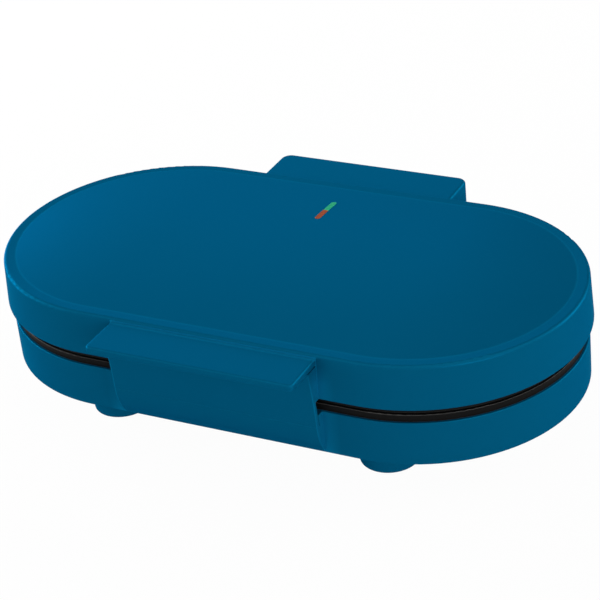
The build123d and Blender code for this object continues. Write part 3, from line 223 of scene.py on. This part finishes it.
def lip_plastic():
    """The same moulding, with painted light lifting the shade where the lip's top meets the lid.
    """
    made = body_plastic("lip_plastic")
    # Painted light lifting the shade on the lip's top at its rear edge, where it meets the lid.
    seam_shade_lift = made.times(
        made.spread(made.depth, 0, 1, start=LIP_SEAM_FRONT, end=LIP_SEAM_REAR),
        made.math("GREATER_THAN", made.height, LIP_TOP - 0.001),
    )
    made.tint(seam_shade_lift, SHADE_LIFT_BLUE)
    return made


def nonstick():
    """Black coating with fine grey flecks over a cast surface, with painted highlights on its
    edges and rounds.
    """
    made = Material("nonstick", (0.006, 0.006, 0.006), roughness=0.45, specular=0.03)
    flecks = made.spread(made.cells(900), 1, 0, start=0.06, end=0.16)
    made.tint(made.times(flecks, 0.4), (0.045, 0.045, 0.045))
    # Painted highlight along sharp edges.
    made.tint(made.times(made.edges(0.0005), 0.8), (0.05, 0.048, 0.046))
    # Painted highlight on the rounded edges of the plates and wells.
    made.tint(made.times(made.rounded_tops(), 0.8), (0.1, 0.097, 0.094))
    made.vary_roughness(made.noise(30, detail=3), change=0.03)
    made.bump(made.noise(1400, detail=3), depth=0.00004, strength=0.6)
    return made


def steel():
    """Plated steel with fine draw lines and a little tarnish."""
    made = Material("steel", (0.5, 0.5, 0.51), roughness=0.32, metallic=1.0)
    tarnish = made.spread(made.noise(160, detail=4), 0, 0.35, start=0.5, end=0.75)
    made.tint(tarnish, (0.3, 0.28, 0.25))
    lines = made.noise(900, detail=2, place=made.stretched((1, 1, 12)))
    made.vary_roughness(lines, change=0.08)
    made.bump(lines, depth=0.00003, strength=0.4)
    return made


def heater_sheath():
    """Steel tube of a heater, browned by heat."""
    made = Material("heater_sheath", (0.19, 0.17, 0.155), roughness=0.42, metallic=1.0)
    made.tint(made.spread(made.noise(45, detail=4), 0, 0.7), (0.1, 0.075, 0.06))
    made.vary_roughness(made.noise(300, detail=2), change=0.08)
    made.bump(made.noise(1500, detail=2), depth=0.00003, strength=0.5)
    return made


def shield_aluminium():
    """Rolled sheet with long faint lines."""
    made = Material("shield_aluminium", (0.74, 0.74, 0.75), roughness=0.36, metallic=1.0)
    lines = made.noise(700, detail=3, place=made.stretched((0.03, 1, 1)))
    made.tint(made.spread(lines, 0, 0.25), (0.5, 0.5, 0.51))
    made.vary_roughness(lines, change=0.07)
    made.bump(lines, depth=0.00003, strength=0.3)
    return made


def ceramic():
    """Glazed ceramic with faint specks."""
    made = Material("ceramic", (0.74, 0.7, 0.62), roughness=0.3)
    made.tint(made.spread(made.cells(700), 0.5, 0, start=0.05, end=0.15), (0.4, 0.34, 0.26))
    made.vary_roughness(made.noise(200), change=0.06)
    made.bump(made.noise(500, detail=2), depth=0.00005, strength=0.4)
    return made


def rubber():
    """Matt black rubber with a cast texture and a little dust."""
    made = Material("rubber", (0.018, 0.018, 0.019), roughness=0.75, specular=0.3)
    made.tint(made.spread(made.noise(120, detail=4), 0, 0.3), (0.05, 0.05, 0.048))
    made.vary_roughness(made.noise(90), change=0.07)
    made.bump(made.noise(1300, detail=3), depth=0.00006, strength=0.8)
    return made


def black_plastic():
    """Matt black moulding with a spark-eroded grain."""
    made = Material("black_plastic", (0.02, 0.02, 0.021), roughness=0.5, specular=0.4)
    # Painted highlight along sharp edges.
    made.tint(made.times(made.edges(0.0004), 0.4), (0.07, 0.07, 0.07))
    made.vary_roughness(made.noise(80, detail=3), change=0.08)
    made.bump(made.noise(1600, detail=3), depth=0.00004, strength=0.7)
    return made


def holder_plastic():
    """Heat resistant moulding, cream with brown specks."""
    made = Material("holder_plastic", (0.62, 0.58, 0.48), roughness=0.5, specular=0.4)
    made.tint(made.spread(made.cells(500), 0.45, 0, start=0.06, end=0.2), (0.3, 0.22, 0.12))
    made.vary_roughness(made.noise(150, detail=3), change=0.07)
    made.bump(made.noise(900, detail=3), depth=0.00005, strength=0.6)
    return made


def lead_sleeve():
    """Woven glass sleeve: crossing strands."""
    made = Material("lead_sleeve", (0.62, 0.57, 0.46), roughness=0.72, specular=0.25)
    strands = None
    for turn in (0.8, -0.8):
        turned = {"Vector": made.place, "Rotation": (0.3, turn, 0.6)}
        place = made.add("ShaderNodeMapping", turned).outputs[0]
        inputs = {"Vector": place, "Scale": 480, "Distortion": 0.4}
        wave = made.add("ShaderNodeTexWave", inputs).outputs["Fac"]
        strands = wave if strands is None else made.math("MAXIMUM", strands, wave)
    made.tint(made.spread(strands, 0.6, 0, start=0.2, end=0.8), (0.3, 0.25, 0.17))
    made.vary_roughness(made.noise(200), change=0.06)
    made.bump(strands, depth=0.0002, strength=0.8)
    return made


def lens(name, color, glow):
    """Clear coloured lamp window with fine ribs and a painted highlight along its rim."""
    made = Material(name, color, roughness=0.25, metallic=0.1, specular=0.0)
    inputs = {"Vector": made.place, "Scale": 130}
    ribs = made.add("ShaderNodeTexWave", inputs, bands_direction="Y").outputs["Fac"]
    made.tint(made.spread(ribs, 0, 0.35, start=0.2, end=0.9), glow)
    # Painted highlight along the window's edges, in the paler glow tone.
    made.tint(made.edges(0.0006), glow)
    made.vary_roughness(made.noise(300), change=0.05)
    made.bump(ribs, depth=0.0001, strength=0.4)
    return made


def lamp_glass():
    """Thin glass of a neon lamp, faintly smoked."""
    clear = {"Transmission Weight": 0.9, "IOR": 1.45}
    made = Material("lamp_glass", (0.9, 0.83, 0.76), roughness=0.06, **clear)
    made.tint(made.spread(made.noise(250, detail=3), 0, 0.5), (0.5, 0.32, 0.2))
    made.vary_roughness(made.noise(400), change=0.03)
    made.bump(made.noise(600), depth=0.00003, strength=0.3)
    return made


materials = {
    "body_plastic": body_plastic("body_plastic"),
    "nonstick": nonstick(),
    "steel": steel(),
    "shield_aluminium": shield_aluminium(),
    "ceramic": ceramic(),
    "rubber": rubber(),
    "black_plastic": black_plastic(),
    "holder_plastic": holder_plastic(),
    "lead_sleeve": lead_sleeve(),
    "power_lens": lens("power_lens", (0.265, 0.05, 0.02), (0.37, 0.114, 0.04)),
    "ready_lens": lens("ready_lens", (0.0095, 0.29, 0.138), (0.04, 0.6, 0.345)),
    "lamp_glass": lamp_glass(),
}
sheath = heater_sheath()
own_materials = {"lid_housing": lid_plastic(), "lift_handle": lip_plastic()}
slots = {entry["node"]: entry["material_slot"] for entry in frame["record"]["subparts"]}
for name, node in nodes.items():
    node.data.materials.clear()
    plain = sheath if name.endswith("_element") else materials[slots[name]]
    node.data.materials.append(own_materials.get(name, plain).material)


# Floor and background, white to the camera and in reflections
WHITE = (1, 1, 1, 1)
PAPER_COLOR = (0.86, 0.86, 0.86, 1)
PAPER_ROUGHNESS = 0.9
FLOOR_SIZE = 12
FLOOR_GLOW = 0.97
WORLD_LIGHT = 0.06


def seen_directly(tree):
    """1 where a ray comes from the camera, a reflection or through glass."""
    path = tree.nodes.new("ShaderNodeLightPath")
    total = path.outputs["Is Camera Ray"]
    for kind in ("Is Glossy Ray", "Is Transmission Ray"):
        added = tree.nodes.new("ShaderNodeMath")
        added.operation = "MAXIMUM"
        tree.links.new(total, added.inputs[0])
        tree.links.new(path.outputs[kind], added.inputs[1])
        total = added.outputs[0]
    return total


world = bpy.data.worlds.new("studio")
scene.world = world
world.use_nodes = True
background = world.node_tree.nodes["Background"]
background.inputs["Color"].default_value = WHITE
strength = world.node_tree.nodes.new("ShaderNodeMapRange")
strength.inputs["To Min"].default_value = WORLD_LIGHT
strength.inputs["To Max"].default_value = 1.0
world.node_tree.links.new(seen_directly(world.node_tree), strength.inputs["Value"])
world.node_tree.links.new(strength.outputs[0], background.inputs["Strength"])

paper = bpy.data.materials.new("paper")
paper.use_nodes = True
tree = paper.node_tree
diffuse = tree.nodes["Principled BSDF"]
diffuse.inputs["Base Color"].default_value = PAPER_COLOR
diffuse.inputs["Roughness"].default_value = PAPER_ROUGHNESS
glow = tree.nodes.new("ShaderNodeEmission")
glow.inputs["Color"].default_value = WHITE
share = tree.nodes.new("ShaderNodeMath")
share.operation = "MULTIPLY"
share.inputs[1].default_value = FLOOR_GLOW
tree.links.new(seen_directly(tree), share.inputs[0])
mixed = tree.nodes.new("ShaderNodeMixShader")
tree.links.new(share.outputs[0], mixed.inputs[0])
tree.links.new(diffuse.outputs[0], mixed.inputs[1])
tree.links.new(glow.outputs[0], mixed.inputs[2])
tree.links.new(mixed.outputs[0], tree.nodes["Material Output"].inputs["Surface"])

bpy.ops.mesh.primitive_plane_add(size=FLOOR_SIZE)
floor = bpy.context.object
floor.name = "floor"
floor.data.materials.append(paper)


# Soft studio light
LIGHT_TARGET = Vector((0, 0, 0.05))


def area_light(name, place, size, power):
    """Rectangular lamp that faces the object: place and size in metres, power in watts."""
    data = bpy.data.lights.new(name, "AREA")
    data.shape = "RECTANGLE"
    data.size, data.size_y = size
    data.energy = power
    light = bpy.data.objects.new(name, data)
    scene.collection.objects.link(light)
    light.location = place
    light.rotation_mode = "QUATERNION"
    light.rotation_quaternion = (LIGHT_TARGET - Vector(place)).to_track_quat("-Z", "Y")


area_light("low_left", (-1.8, 0.4, 0.4), (2.2, 0.7), 58)
area_light("front_left", (-1.4, -0.9, 0.5), (1.0, 0.8), 4.5)
area_light("rear_left", (-1.0, 1.4, 0.9), (1.2, 1.0), 6.5)
area_light("rear_right", (1.3, 1.2, 0.5), (1.0, 0.8), 18.5)
area_light("front_right", (1.4, -0.9, 0.5), (1.0, 0.8), 14)
area_light("front", (0.3, -1.7, 0.6), (1.8, 0.8), 4.5)
area_light("overhead", (0.0, 0.2, 1.8), (1.5, 1.5), 6.3)
